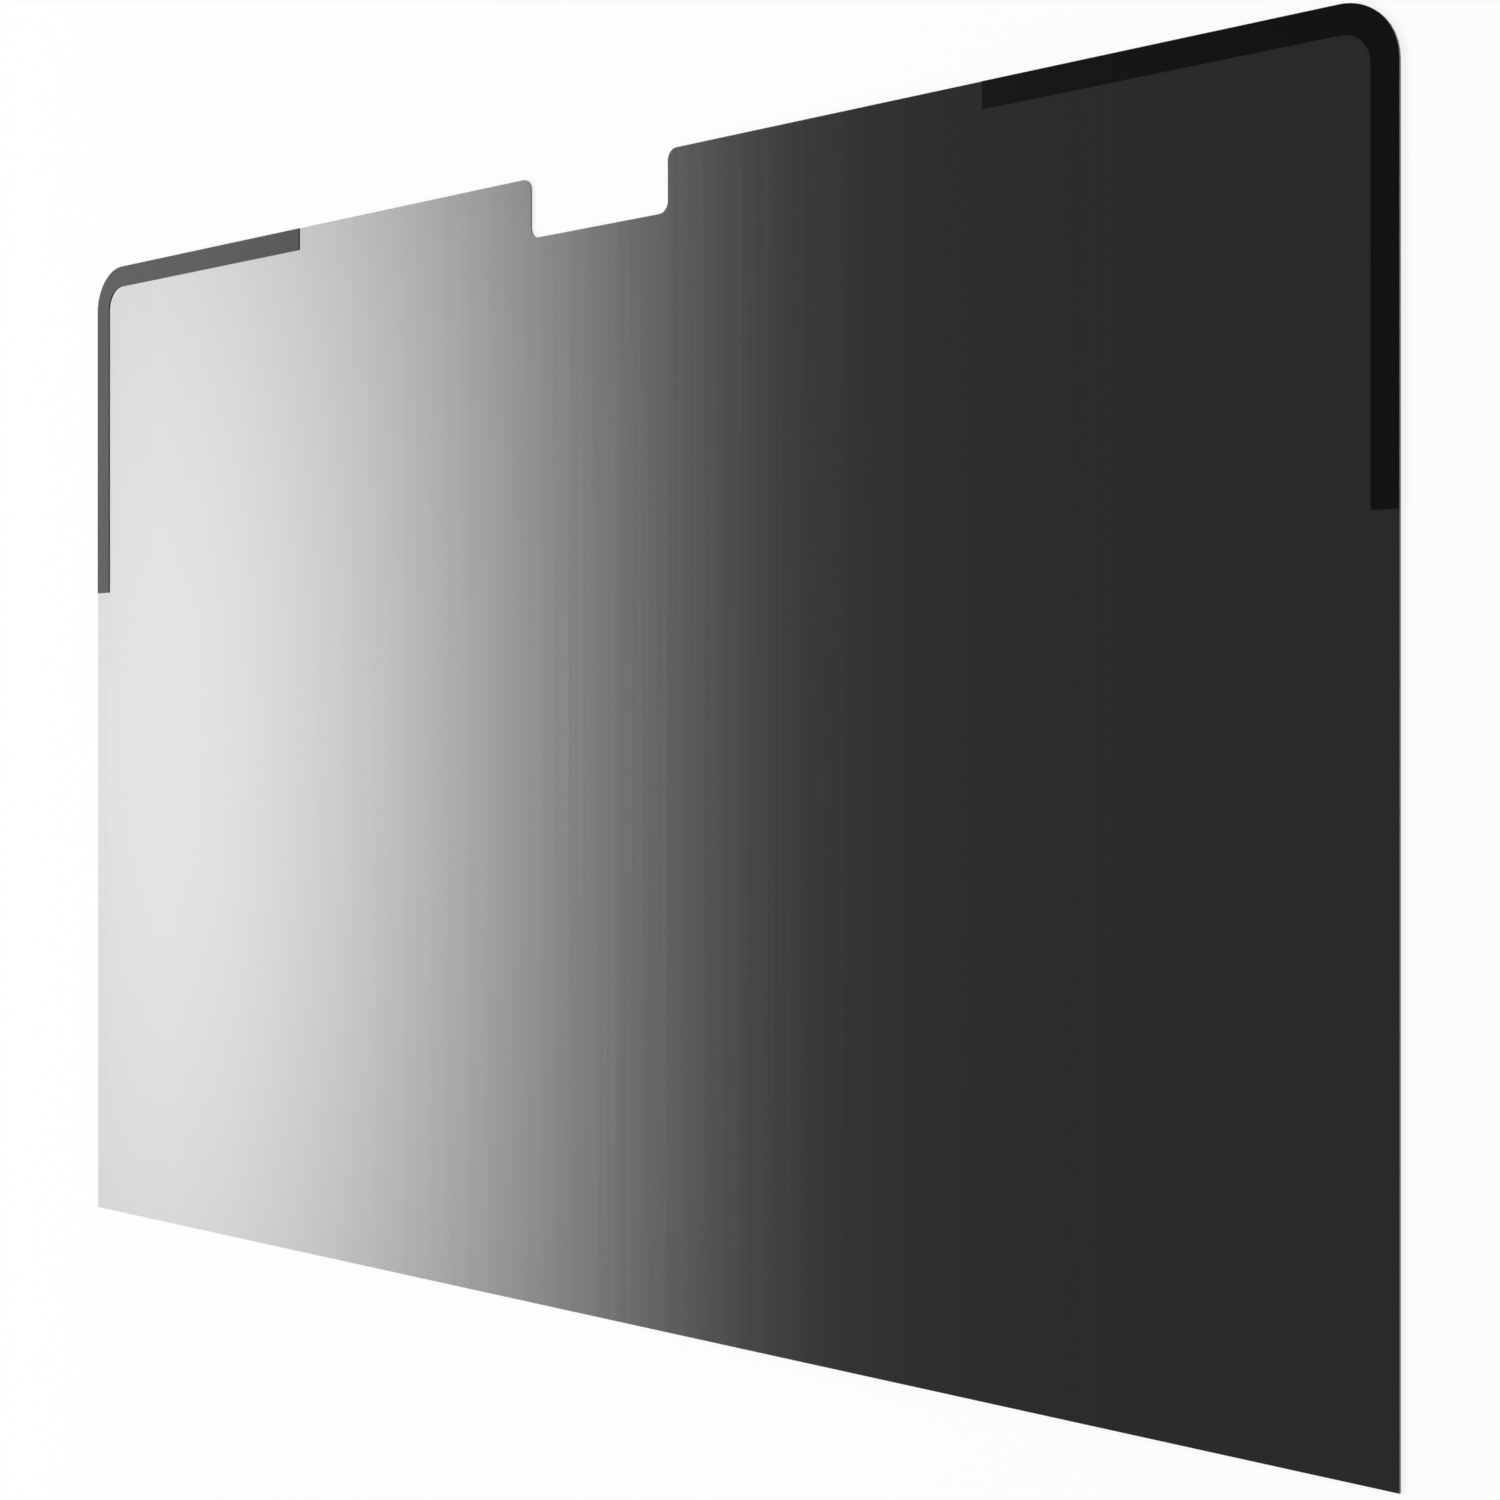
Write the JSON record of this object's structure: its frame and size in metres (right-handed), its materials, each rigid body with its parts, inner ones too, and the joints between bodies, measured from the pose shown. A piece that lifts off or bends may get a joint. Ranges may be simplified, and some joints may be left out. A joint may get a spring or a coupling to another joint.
{
  "type": "screen privacy filter",
  "caption": "Thin dark privacy film for a notebook screen, with rounded top corners, a camera notch in its top edge and black L-shaped holding strips on its top corners.",
  "frame": {"origin": "middle of the film's plain face, which it rests on", "axes": "+X along the film's width to the right, +Y up its height towards the camera notch, +Z out of the face that carries the strips"},
  "size_m": [0.308, 0.2036, 0.0005],
  "materials": {
    "louvre_film": "satin",
    "strip_rubber": "matte"
  },
  "bodies": {
    "root": {"filter_sheet": "louvre_film", "left_corner_strip": "strip_rubber", "right_corner_strip": "strip_rubber"}
  },
  "joints": []
}
